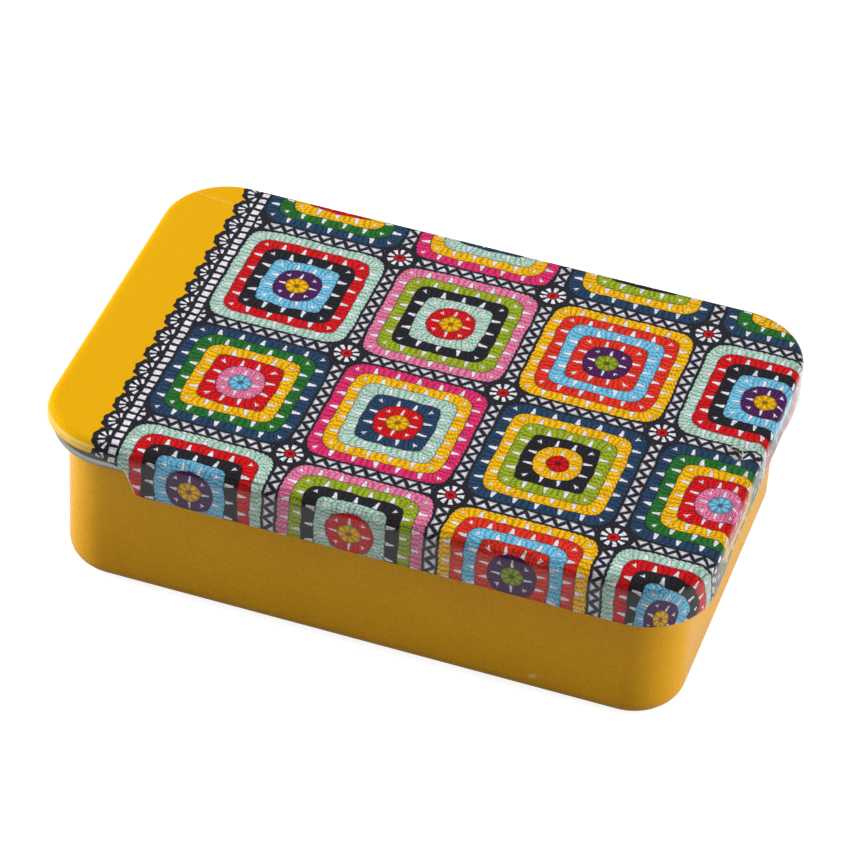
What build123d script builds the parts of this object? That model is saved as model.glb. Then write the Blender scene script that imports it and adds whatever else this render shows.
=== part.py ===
"""Sewing tin with a sliding lid: a drawn tray with a rolled rim, and a lid that slides on that rim.

Frame: millimetres, +Z up, origin at the middle of the underside of the closed tin.  +X is the
length, towards the end that the lid slides off.  The front and the back are -Y and +Y.
"""

import os
from math import acos, degrees

from build123d import *

os.makedirs("parts", exist_ok=True)

# ---------------------------------------------------------------------------------------------
# Driving dimensions
# ---------------------------------------------------------------------------------------------
length = 100.0              # closed tin, over the lid
width = 65.0                # closed tin, over the lid
height = 28.5               # closed tin, underside to the top of the lid
sheet = 0.3                 # tinplate

overhang = 3.0              # lid past the tray's walls, all round
wall_corner_radius = 8.0    # tray, outside, seen from above
floor_radius = 3.0          # tray, outside, between floor and walls

lid_corner_radius = 10.5    # lid, outside, seen from above
lid_edge_radius = 1.7       # lid, outside, between top and skirt
lip_depth = 1.8             # top of the lid to its edge at the open end

rim_gap = 0.6               # lid's edge at the open end above the tray's rolled rim
side_gap = 0.3              # rolled rim to the inside of the skirt
channel_gap = 0.9           # rolled rim to the skirt's rolled edge below it
wall_gap = 0.8              # skirt's rolled edge to the tray's wall
end_clearance = 0.1         # end skirt's edge above the rolled edge that runs out beside it
trim_clearance = 0.1        # lowest reach of the skirt's end cuts below the rolled edge
curl_angle = 310            # degrees of a full turn that the rolled edges go round

fall_drop = 1.5             # how far the lid's edge falls before the skirt's cut end
fall_run = 4.6              # along the tin, over that fall
cut_run = 2.0               # along the tin, over the skirt's cut end
fall_round = 6.0
cut_top_round = 0.8
cut_foot_round = 1.8

relief_start = 1.0          # closed end: from the lid's corner to where the edge starts to rise
relief_run = 8.0            # across the tin, over which it rises
relief_round = 5.0

dimple_inset = 3.5          # middle of the catch dimple from the lid's closed end
dimple_radius = 1.7         # at the top of the lid
dimple_depth = 0.7

# ---------------------------------------------------------------------------------------------
# Sizes that follow
# ---------------------------------------------------------------------------------------------
wall_length = length - 2 * overhang
wall_width = width - 2 * overhang

rim_radius = (overhang - side_gap) / 2                  # rolled rim, outside of the roll
rim_inset = overhang + sheet - rim_radius               # middle of the roll from the lid's outline
rim_z = height - lip_depth - rim_gap - rim_radius       # middle of the roll

edge_radius = (overhang - wall_gap) / 2                 # skirt's rolled edge, outside of the roll
edge_inset = edge_radius
edge_z = rim_z - rim_radius - channel_gap - edge_radius
edge_bottom_z = edge_z - edge_radius
end_edge_z = edge_z + edge_radius + end_clearance

lip_z = height - lip_depth
trim_z = edge_bottom_z - trim_clearance
fall_start_x = -length / 2 + lid_corner_radius
cut_start_x = fall_start_x + fall_run
relief_foot_y = width / 2 - lid_corner_radius - relief_start
relief_top_y = relief_foot_y - relief_run
reach = length + width                                  # longer than any cut has to be

dimple_x = length / 2 - dimple_inset
dimple_sphere = (dimple_radius**2 + dimple_depth**2) / (2 * dimple_depth)
dimple_rise = dimple_sphere - dimple_depth              # middle of that sphere above the lid's top
dimple_angle = degrees(acos((dimple_rise + sheet / 2) / (dimple_sphere + sheet)))


def rounded_loop(inset, corner_radius):
    """Draw the closed outline that lies `inset` inside the lid's, from the middle of the front."""
    half_x = length / 2 - inset
    half_y = width / 2 - inset
    along_x = half_x - corner_radius
    along_y = 2 * (half_y - corner_radius)
    corner = Vector(0, -half_y)
    heading = Vector(1, 0)
    for run in (along_x, along_y, 2 * along_x, along_y):
        straight = Line(corner, corner + heading * run)
        bend = JernArc(straight @ 1, heading, corner_radius, 90)
        corner = bend @ 1
        heading = bend % 1
    Line(corner, (0, -half_y))


def rolled_section(radius, first_angle, turn):
    """Draw the outline of a rolled edge: sheet bent round `radius`, from `first_angle` by `turn`."""
    outer = CenterArc((0, 0), radius, first_angle, turn)
    inner = CenterArc((0, 0), radius - sheet, first_angle, turn)
    Line(outer @ 0, inner @ 0)
    Line(outer @ 1, inner @ 1)


# ---------------------------------------------------------------------------------------------
# Tray: one sheet, drawn, with its top edge rolled outwards into a rim
# ---------------------------------------------------------------------------------------------
with BuildPart() as tray:
    with BuildSketch():
        RectangleRounded(wall_length, wall_width, wall_corner_radius)
    extrude(amount=rim_z)
    fillet(tray.faces().sort_by(Axis.Z)[0].edges(), radius=floor_radius)
    offset(amount=-sheet, openings=tray.faces().sort_by(Axis.Z)[-1])

    with BuildLine() as rim_path:
        rounded_loop(rim_inset, wall_corner_radius + overhang - rim_inset)
    rim_plane = Plane((0, -width / 2 + rim_inset, rim_z), x_dir=(0, 1, 0), z_dir=(1, 0, 0))
    with BuildSketch(rim_plane):
        with BuildLine():
            rolled_section(rim_radius, 0, curl_angle)
        make_face()
    sweep(path=rim_path.wire().moved(Location((0, 0, rim_z))))

tray.part.label = "tray"
export_step(tray.part, "parts/tray.step")

# ---------------------------------------------------------------------------------------------
# Lid: one sheet, drawn, with a skirt on three sides whose edge is rolled inwards under the rim
# ---------------------------------------------------------------------------------------------
with BuildPart() as sliding_lid:
    with BuildSketch(Plane.XY.offset(edge_z)):
        RectangleRounded(length, width, lid_corner_radius)
    extrude(amount=height - edge_z)
    fillet(sliding_lid.faces().sort_by(Axis.Z)[-1].edges(), radius=lid_edge_radius)
    offset(amount=-sheet, openings=sliding_lid.faces().sort_by(Axis.Z)[0])

    with BuildLine() as edge_path:
        rounded_loop(edge_inset, lid_corner_radius - edge_inset)
    edge_plane = Plane((0, -width / 2 + edge_inset, edge_z), x_dir=(0, 1, 0), z_dir=(1, 0, 0))
    with BuildSketch(edge_plane):
        with BuildLine():
            rolled_section(edge_radius, 180, curl_angle)
        make_face()
    sweep(path=edge_path.wire().moved(Location((0, 0, edge_z))))

    # open end: the edge clears the rim, falls past it, and ends the skirt with a slanting cut
    with BuildSketch(Plane.XZ):
        with BuildLine():
            FilletPolyline(
                (-reach, lip_z),
                (fall_start_x, lip_z),
                (cut_start_x, lip_z - fall_drop),
                (cut_start_x + cut_run, trim_z),
                (reach, trim_z),
                radius=[fall_round, cut_top_round, cut_foot_round],
            )
            Polyline((reach, trim_z), (reach, -reach), (-reach, -reach), (-reach, lip_z))
        make_face()
    extrude(amount=reach, both=True, mode=Mode.SUBTRACT)

    # closed end: the rolled edge runs out past the corners, and the end skirt is shallower
    with BuildSketch(Plane.YZ):
        with BuildLine():
            FilletPolyline(
                (-reach, trim_z),
                (-relief_foot_y, trim_z),
                (-relief_top_y, end_edge_z),
                (relief_top_y, end_edge_z),
                (relief_foot_y, trim_z),
                (reach, trim_z),
                radius=relief_round,
            )
            Polyline((reach, trim_z), (reach, -reach), (-reach, -reach), (-reach, trim_z))
        make_face()
    extrude(amount=reach, mode=Mode.SUBTRACT)

    # catch dimple, pressed down into the top
    with BuildSketch(Plane((dimple_x, 0, height), x_dir=(1, 0, 0), z_dir=(0, -1, 0))):
        with BuildLine():
            under = CenterArc((0, dimple_rise), dimple_sphere + sheet, -90, dimple_angle)
            Polyline(under @ 1, (0, -sheet / 2), under @ 0)
        make_face()
    revolve(axis=Axis((dimple_x, 0, 0), (0, 0, 1)))
    with Locations((dimple_x, 0, height + dimple_rise)):
        Sphere(dimple_sphere, mode=Mode.SUBTRACT)

sliding_lid.part.label = "sliding_lid"
export_step(sliding_lid.part, "parts/sliding_lid.step")
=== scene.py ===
"""Looks of a sewing tin with a sliding lid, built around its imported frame.

Metres, +Z up, origin at the middle of the underside of the closed tin.  The tin is two drawn
sheets: a tray with a rolled rim, and a lid that slides off towards +X.  Each sheet is meshed as
one swept surface, given its thickness, and printed, lacquered or left bare on either side.

Shaders read places in millimetres, so the sizes that the finishes hold are in millimetres too.
"""

import logging
import math
from collections.abc import Iterable, Sequence
from dataclasses import dataclass
from enum import Enum
from itertools import repeat

import bmesh
import bpy
import numpy as np
from mathutils import Matrix, Vector

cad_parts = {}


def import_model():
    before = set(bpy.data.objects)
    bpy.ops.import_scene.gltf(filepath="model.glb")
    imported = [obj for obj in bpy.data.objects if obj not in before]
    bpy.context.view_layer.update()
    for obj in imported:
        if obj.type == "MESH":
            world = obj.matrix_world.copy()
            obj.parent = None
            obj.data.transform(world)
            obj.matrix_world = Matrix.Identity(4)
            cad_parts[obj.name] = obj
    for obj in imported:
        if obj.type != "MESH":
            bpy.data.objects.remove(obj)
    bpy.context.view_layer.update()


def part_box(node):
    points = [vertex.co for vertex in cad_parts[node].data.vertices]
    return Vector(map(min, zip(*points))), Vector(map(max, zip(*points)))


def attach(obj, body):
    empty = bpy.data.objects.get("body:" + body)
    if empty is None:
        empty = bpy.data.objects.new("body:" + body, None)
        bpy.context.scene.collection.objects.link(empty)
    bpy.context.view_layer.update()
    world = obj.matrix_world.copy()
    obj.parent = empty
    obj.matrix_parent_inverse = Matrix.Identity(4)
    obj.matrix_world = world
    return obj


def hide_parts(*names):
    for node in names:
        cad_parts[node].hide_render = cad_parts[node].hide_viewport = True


LOG = logging.getLogger("sewing_tin")
MM = 0.001
MOST_STOPS = 32                     # that a colour ramp can hold
MIX_INPUTS = (0, 6, 7)              # a mix node's share and its two colours
MIX_OUTPUT = 2                      # its mixed colour
NOISE_REACH = (0.3, 0.7)            # what a noise mostly stays between
BRIGHTEST = 255                     # level of a screen's colour
SCREEN_TOE = (0.04045, 12.92)       # up to where its transfer curve is straight, and how steep
SCREEN_CURVE = (0.055, 2.4)         # offset and power of the rest
NEVER_ZERO = 0.01                   # least size of what a field is divided by

Colour = tuple[float, float, float, float]
Pair = tuple[float, float]
Triple = tuple[float, float, float]
Step = tuple[float, float, float, float]    # where a step begins and ends, and its two levels

WHITE: Colour = (1.0, 1.0, 1.0, 1.0)


def srgb(red: int, green: int, blue: int) -> Colour:
    """Turn a colour from 0 to 255, as inks are picked on a screen, into a linear one.

    Args:
        red: Red, from 0 to 255.
        green: Green, from 0 to 255.
        blue: Blue, from 0 to 255.

    Returns:
        The colour as Blender's sockets take it, opaque.
    """
    def linear(value: int) -> float:
        """Undo the screen's transfer curve for one channel.

        Args:
            value: The channel, from 0 to 255.

        Returns:
            How much light it stands for, from 0 to 1.
        """
        share = value / BRIGHTEST
        toe, slope = SCREEN_TOE
        offset, power = SCREEN_CURVE
        return share / slope if share <= toe else ((share + offset) / (1 + offset)) ** power

    return (linear(red), linear(green), linear(blue), 1.0)


# ---------------------------------------------------------------------------------------------
# Shader fields: numbers and colours that vary over a surface
# ---------------------------------------------------------------------------------------------
@dataclass(frozen=True)
class Field:
    """A number that varies over a surface: a socket of a node tree, with arithmetic."""

    tree: bpy.types.NodeTree
    socket: bpy.types.NodeSocket

    def _math(self, operation: str, *others: "Field | float") -> "Field":
        """Add a math node that takes this field first.

        Args:
            operation: Blender's name of the operation.
            *others: The node's further inputs.

        Returns:
            The node's result.
        """
        node = self.tree.nodes.new("ShaderNodeMath")
        node.operation = operation
        for slot, value in enumerate((self, *others)):
            put(self.tree, node.inputs[slot], value)
        return Field(self.tree, node.outputs[0])

    def __add__(self, other: "Field | float") -> "Field":
        """This plus the other."""
        return self._math("ADD", other)

    def __sub__(self, other: "Field | float") -> "Field":
        """This less the other."""
        return self._math("SUBTRACT", other)

    def __rsub__(self, other: float) -> "Field":
        """A number less this."""
        return -self + other

    def __mul__(self, other: "Field | float") -> "Field":
        """This times the other."""
        return self._math("MULTIPLY", other)

    def __truediv__(self, other: "Field | float") -> "Field":
        """This divided by the other."""
        return self._math("DIVIDE", other)

    def __pow__(self, other: "Field | float") -> "Field":
        """This to the power of the other."""
        return self._math("POWER", other)

    def __abs__(self) -> "Field":
        """This without its sign."""
        return self._math("ABSOLUTE")

    def __neg__(self) -> "Field":
        """This with its sign turned."""
        return self * -1.0

    def floor(self) -> "Field":
        """The whole number below."""
        return self._math("FLOOR")

    def fract(self) -> "Field":
        """What the whole number below leaves."""
        return self._math("FRACT")

    def wrap(self, period: float) -> "Field":
        """This, brought to between 0 and the period by whole periods."""
        return self._math("FLOORED_MODULO", period)

    def tiled(self, pitch: float) -> "Field":
        """How far this lies from the middle of its tile, where tiles start at 0 and repeat."""
        return ((self / pitch).fract() - 0.5) * pitch

    def sine(self) -> "Field":
        """The sine."""
        return self._math("SINE")

    def angle_from(self, across: "Field") -> "Field":
        """The angle of the point whose height is this and whose width is `across`."""
        return self._math("ARCTAN2", across)

    def arc_tangent(self) -> "Field":
        """The angle whose tangent this is."""
        return self._math("ARCTANGENT")

    def distance(self, other: "Field") -> "Field":
        """How far the point with this and the other as its coordinates lies from the origin."""
        return (self * self + other * other) ** 0.5

    def least(self, other: "Field | float") -> "Field":
        """The lesser of the two."""
        return self._math("MINIMUM", other)

    def most(self, other: "Field | float") -> "Field":
        """The greater of the two."""
        return self._math("MAXIMUM", other)

    def over(self, other: "Field | float") -> "Field":
        """1 where this is more than the other, else 0."""
        return self._math("GREATER_THAN", other)

    def rise(self, low: float, high: float, start: float = 0.0, end: float = 1.0) -> "Field":
        """A smooth step between two levels.

        Args:
            low: Where the step begins.
            high: Where it ends; it may lie below `low`.
            start: The result before the step.
            end: The result past the step.

        Returns:
            The stepped field, clamped.
        """
        node = self.tree.nodes.new("ShaderNodeMapRange")
        node.interpolation_type = "SMOOTHSTEP"
        levels = (low, high, start, end) if low < high else (high, low, end, start)
        put(self.tree, node.inputs["Value"], self)
        for name, level in zip(("From Min", "From Max", "To Min", "To Max"), levels, strict=True):
            node.inputs[name].default_value = level
        return Field(self.tree, node.outputs["Result"])

    def past(self, level: float, soft: float) -> "Field":
        """1 where this is more than `level`, with an edge that is `soft` wide."""
        return self.rise(level - soft / 2, level + soft / 2)

    def within(self, half: "Field | float", soft: float) -> "Field":
        """1 where this is nearer to 0 than `half`, with an edge that is `soft` wide."""
        gap = abs(self) - half
        return gap.rise(soft / 2, -soft / 2)

    def spread(self, low: float, high: float) -> "Field":
        """This noise, brought to between two levels."""
        return self.rise(*NOISE_REACH, low, high)

    def ridges(self) -> "Field":
        """The height across a row of round strands, one to each whole step of this."""
        across = (self.fract() - 0.5) * 2.0
        return 1.0 - across * across


def put(tree: bpy.types.NodeTree, target: bpy.types.NodeSocket, value: object) -> None:
    """Link a field or a socket to an input, or set a plain value on it.

    Args:
        tree: The node tree that both belong to.
        target: The input.
        value: A Field, a socket, a number or a colour.
    """
    if isinstance(value, Field):
        tree.links.new(value.socket, target)
    elif isinstance(value, bpy.types.NodeSocket):
        tree.links.new(value, target)
    else:
        target.default_value = value


@dataclass(frozen=True)
class Walls:
    """Upright walls that stand on a rounded rectangle, in millimetres."""

    half_length: float
    half_width: float
    radius: float


class Nodes:
    """A node tree under construction, with short names for the nodes that it is made of."""

    def __init__(self, tree: bpy.types.NodeTree) -> None:
        """Take up a tree.

        Args:
            tree: The tree.
        """
        self.tree = tree

    def node(self, kind: str, **inputs: object) -> bpy.types.Node:
        """Add a node and fill its inputs.

        Args:
            kind: The node's type, without its ShaderNode prefix.
            **inputs: Values by input name, with underscores for spaces.

        Returns:
            The node.
        """
        node = self.tree.nodes.new("ShaderNode" + kind)
        for name, value in inputs.items():
            put(self.tree, node.inputs[name.replace("_", " ")], value)
        return node

    def field(self, node: bpy.types.Node, output: str) -> Field:
        """One of a node's outputs, as a field."""
        return Field(self.tree, node.outputs[output])

    def axis(self, where: bpy.types.NodeSocket, letter: str) -> Field:
        """One of a place's coordinates, by its letter."""
        return self.field(self.node("SeparateXYZ", Vector=where), letter)

    def seen(self) -> tuple[Field, Field]:
        """Tell which rays show the background.

        Returns:
            1 for those that show it to the eye, and 1 for those that show it in gloss and glass.
        """
        path = self.node("LightPath")
        camera, glossy, through = (self.field(path, f"Is {kind} Ray") for kind in
                                   ("Camera", "Glossy", "Transmission"))
        return camera, glossy.most(through)


class Shader(Nodes):
    """A material under construction."""

    def __init__(self, name: str) -> None:
        """Start an empty material.

        Args:
            name: The material's name.
        """
        self.material = bpy.data.materials.new(name)
        self.material.use_nodes = True
        super().__init__(self.material.node_tree)
        self.tree.nodes.clear()
        self.output = self.node("OutputMaterial")

    def map_fields(self, name: str) -> tuple[Field, Field]:
        """Read a UV map as two fields, in millimetres.

        Args:
            name: The map's name.

        Returns:
            Its two coordinates.
        """
        source = self.node("UVMap")
        source.uv_map = name
        across, along = (self.axis(source.outputs["UV"], letter) for letter in "XY")
        return across / MM, along / MM

    def vector(self, operation: str, where: bpy.types.NodeSocket,
               other: Sequence[float]) -> bpy.types.Node:
        """Work on a place.

        Args:
            operation: Blender's name of the operation.
            where: The place.
            other: The operation's second vector.

        Returns:
            The node that does it.
        """
        node = self.node("VectorMath", Vector=where)
        node.operation = operation
        node.inputs[1].default_value = other
        return node

    def object_point(self) -> bpy.types.NodeSocket:
        """The surface point in the tin's own frame, in millimetres."""
        place = self.node("TexCoord").outputs["Object"]
        return self.vector("MULTIPLY", place, (1 / MM,) * 3).outputs["Vector"]

    def point(self, *fields: "Field | float") -> bpy.types.NodeSocket:
        """Join coordinates into one point.

        Args:
            *fields: Up to three of them.

        Returns:
            The point.
        """
        joined = self.node("CombineXYZ")
        for slot, field in enumerate(fields):
            put(self.tree, joined.inputs[slot], field)
        return joined.outputs["Vector"]

    def mix(self, under: object, over: object, share: "Field | float",
            mode: str = "MIX") -> bpy.types.NodeSocket:
        """Lay one colour over another.

        Args:
            under: The colour below.
            over: The colour on top.
            share: How much of it shows.
            mode: Blender's name of the blend.

        Returns:
            The mixed colour.
        """
        node = self.node("Mix")
        node.data_type = "RGBA"
        node.blend_type = mode
        for slot, value in zip(MIX_INPUTS, (share, under, over), strict=True):
            put(self.tree, node.inputs[slot], value)
        return node.outputs[MIX_OUTPUT]

    def shade(self, colour: object, light: Field) -> bpy.types.NodeSocket:
        """Multiply a colour by a field."""
        grey = self.point(light, light, light)
        return self.mix(colour, grey, 1.0, "MULTIPLY")

    def choose(self, index: Field, colours: Sequence[Colour]) -> bpy.types.NodeSocket:
        """Pick one of a row of colours.

        Args:
            index: Whole numbers from 0.
            colours: The colours.

        Returns:
            The colour at that index.
        """
        if len(colours) > MOST_STOPS:
            half = len(colours) // 2
            return self.mix(self.choose(index, colours[:half]),
                            self.choose(index - half, colours[half:]), index.over(half - 0.5))
        ramp = self.node("ValToRGB", Fac=(index + 0.5) / len(colours))
        ramp.color_ramp.interpolation = "CONSTANT"
        stops = ramp.color_ramp.elements
        while len(stops) < len(colours):
            stops.new(1.0)
        for number, colour in enumerate(colours):
            stops[number].position = number / len(colours)
            stops[number].color = colour
        return ramp.outputs["Color"]

    def beyond(self, where: bpy.types.NodeSocket, walls: Walls) -> Field:
        """How far a place lies outside upright walls.

        Args:
            where: The place.
            walls: The walls.

        Returns:
            The distance, below 0 inside.
        """
        beyond_x = abs(self.axis(where, "X")) - (walls.half_length - walls.radius)
        beyond_y = abs(self.axis(where, "Y")) - (walls.half_width - walls.radius)
        corner = beyond_x.most(0.0).distance(beyond_y.most(0.0))
        return corner + beyond_x.most(beyond_y).least(0.0) - walls.radius

    def bump(self, height: Field, depth: float) -> bpy.types.NodeSocket:
        """Turn a height from 0 to 1 into a normal.

        Args:
            height: The relief.
            depth: Its real depth, in millimetres.

        Returns:
            The normal.
        """
        return self.node("Bump", Height=height, Distance=depth * MM).outputs["Normal"]

    def finish(self, surface: bpy.types.Node) -> bpy.types.Material:
        """Join a shader to the output and return the material."""
        self.tree.links.new(surface.outputs[0], self.output.inputs["Surface"])
        return self.material


@dataclass(frozen=True)
class Noise:
    """Smooth random variation, from 0 to 1 and about 0.5 on average.

    Attributes:
        size: The size of its patches, in millimetres.
        detail: How many finer layers it has.
        roughness: How strong the finer layers are.
    """

    size: float
    detail: float = 2.0
    roughness: float = 0.5

    def at(self, shader: Shader, where: bpy.types.NodeSocket) -> Field:
        """Read the noise.

        Args:
            shader: The shader that reads it.
            where: The place, in millimetres.

        Returns:
            The noise there.
        """
        node = shader.node("TexNoise", Vector=where, Scale=1 / self.size, Detail=self.detail,
                           Roughness=self.roughness)
        return shader.field(node, "Fac")


# ---------------------------------------------------------------------------------------------
# Lacquer and tinplate
# ---------------------------------------------------------------------------------------------
YELLOW_LACQUER = srgb(242, 180, 0)
PALE_LACQUER = srgb(250, 232, 150)      # pale yellow: for a scuff, a line on the band, and painted highlights on the lid's edge


@dataclass(frozen=True)
class LacqueredTin:
    """Satin lacquer over tinplate, with the fine grain and orange peel of a rolled-on coat."""

    colour: Colour = srgb(242, 177, 32)
    grain: Noise = Noise(0.28, 3.0, 0.6)
    grain_tone: Pair = (0.88, 1.08)
    cloud: Noise = Noise(14.0)
    cloud_tone: Pair = (0.97, 1.02)
    smear: Noise = Noise(3.5, 3.0)
    roughness: Pair = (0.2, 0.26)
    specular: float = 0.12
    peel: Noise = Noise(1.1)
    peel_depth: float = 0.006
    scuff: Triple = (26.6, -29.5, 3.6)          # a small one, low on the front
    scuff_edge: Step = (1.1, 0.8, 0.0, 0.55)    # from outside it inwards

    def material(self) -> bpy.types.Material:
        """Make the material.

        Returns:
            The lacquer on the tray's outside.
        """
        shader = Shader("yellow_lacquer")
        where = shader.object_point()
        grain = self.grain.at(shader, where).spread(*self.grain_tone)
        cloud = self.cloud.at(shader, where).spread(*self.cloud_tone)
        peel = self.peel.at(shader, where)
        away = shader.field(shader.vector("DISTANCE", where, self.scuff), "Value")
        scuffed = (away + peel).rise(*self.scuff_edge)
        plain = shader.shade(self.colour, grain * cloud)
        surface = shader.node(
            "BsdfPrincipled", Base_Color=shader.mix(plain, PALE_LACQUER, scuffed),
            Roughness=self.smear.at(shader, where).spread(*self.roughness),
            Specular_IOR_Level=self.specular, Normal=shader.bump(peel, self.peel_depth))
        return shader.finish(surface)


@dataclass(frozen=True)
class BareTinplate:
    """Tinned steel with faint rolling lines and a soft mottle: satin inside, painted darker on the
    rim.
    """

    walls: Walls                        # that part the tray's inside from its rim
    inside_edge: Pair = (0.9, -0.2)     # how far out from them the inside starts and is whole
    # lit and shaded copies of one tinplate: the rim's darker colour is painted shade, as under the
    # lid's lip, the inside's lighter one painted light
    rim: Colour = srgb(166, 166, 161)
    inside: Colour = srgb(208, 207, 202)
    rim_metal: float = 0.82
    inside_metal: float = 0.58          # under its clear varnish
    rolled: Triple = (0.05, 1.0, 1.0)   # how the lines' places shrink along the tin
    lines: Noise = Noise(0.3, 3.0, 0.6)
    lines_tone: Pair = (0.92, 1.03)
    lines_depth: float = 0.003
    mottle: Noise = Noise(4.0, 3.0)
    mottle_tone: Pair = (0.93, 1.03)
    roughness: Pair = (0.25, 0.38)
    inside_rougher: float = 0.08

    def material(self) -> bpy.types.Material:
        """Make the material.

        Returns:
            The tinplate of the inside, the rim and the lid's underside.
        """
        shader = Shader("bare_tinplate")
        where = shader.object_point()
        rolled = shader.vector("MULTIPLY", where, self.rolled).outputs["Vector"]
        lines = self.lines.at(shader, rolled)
        mottle = self.mottle.at(shader, where)
        tone = lines.spread(*self.lines_tone) * mottle.spread(*self.mottle_tone)
        within = shader.beyond(where, self.walls).rise(*self.inside_edge)
        # painted light: the rim darker, the inside lighter
        surface = shader.node(
            "BsdfPrincipled",
            Base_Color=shader.shade(shader.mix(self.rim, self.inside, within), tone),
            Metallic=within * (self.inside_metal - self.rim_metal) + self.rim_metal,
            Roughness=mottle.spread(*self.roughness) + within * self.inside_rougher,
            Normal=shader.bump(lines, self.lines_depth))
        return shader.finish(surface)


# ---------------------------------------------------------------------------------------------
# The crochet print
# ---------------------------------------------------------------------------------------------
PRINT_EDGE = 0.12                       # how wide the soft edge of its outlines is
TWIST_LIGHT = (0.3, 1.1)                # black yarn's light: how far it varies, and what about


class Yarn(Enum):
    """The yarns that the printed crochet is worked in."""

    BLACK = srgb(38, 38, 45)
    NAVY = srgb(40, 68, 98)
    SKY = srgb(118, 194, 230)
    MINT = srgb(180, 214, 198)
    PINK = srgb(232, 122, 162)
    MAGENTA = srgb(226, 48, 110)
    RED = srgb(216, 20, 28)
    SCARLET = srgb(230, 50, 34)
    YELLOW = srgb(250, 188, 16)
    GREEN = srgb(40, 112, 46)
    LIME = srgb(156, 174, 40)
    PURPLE = srgb(82, 34, 92)
    WHITE = srgb(240, 237, 245)


# Yarns of one square from its middle outwards
COLOURWAYS: tuple[tuple[Yarn, ...], ...] = (
    (Yarn.YELLOW, Yarn.PURPLE, Yarn.SKY, Yarn.BLACK, Yarn.RED, Yarn.MINT),
    (Yarn.RED, Yarn.YELLOW, Yarn.BLACK, Yarn.LIME, Yarn.YELLOW, Yarn.NAVY),
    (Yarn.YELLOW, Yarn.RED, Yarn.MINT, Yarn.BLACK, Yarn.LIME, Yarn.PINK),
    (Yarn.SKY, Yarn.PINK, Yarn.RED, Yarn.YELLOW, Yarn.GREEN, Yarn.NAVY),
    (Yarn.LIME, Yarn.PURPLE, Yarn.SCARLET, Yarn.SKY, Yarn.SCARLET, Yarn.YELLOW),
    (Yarn.YELLOW, Yarn.RED, Yarn.NAVY, Yarn.MINT, Yarn.YELLOW, Yarn.MAGENTA),
)


@dataclass(frozen=True)
class Spot:
    """A place on the flat sheet, as the print's shader reads it.

    Attributes:
        shader: The shader.
        x: Its place along the tin.
        y: Its place across the tin.
        u: Its place along the tin in the drawn grid, from which the work strays.
        v: The same across the tin.
        fibre: Fine grain.
    """

    shader: Shader
    x: Field
    y: Field
    u: Field
    v: Field
    fibre: Field

    def black(self, phase: Field) -> bpy.types.NodeSocket:
        """The lace's black yarn, twisted once for each full turn of a phase."""
        varies, middle = TWIST_LIGHT
        return self.shader.shade(Yarn.BLACK.value, phase.sine() * varies + middle)


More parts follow.
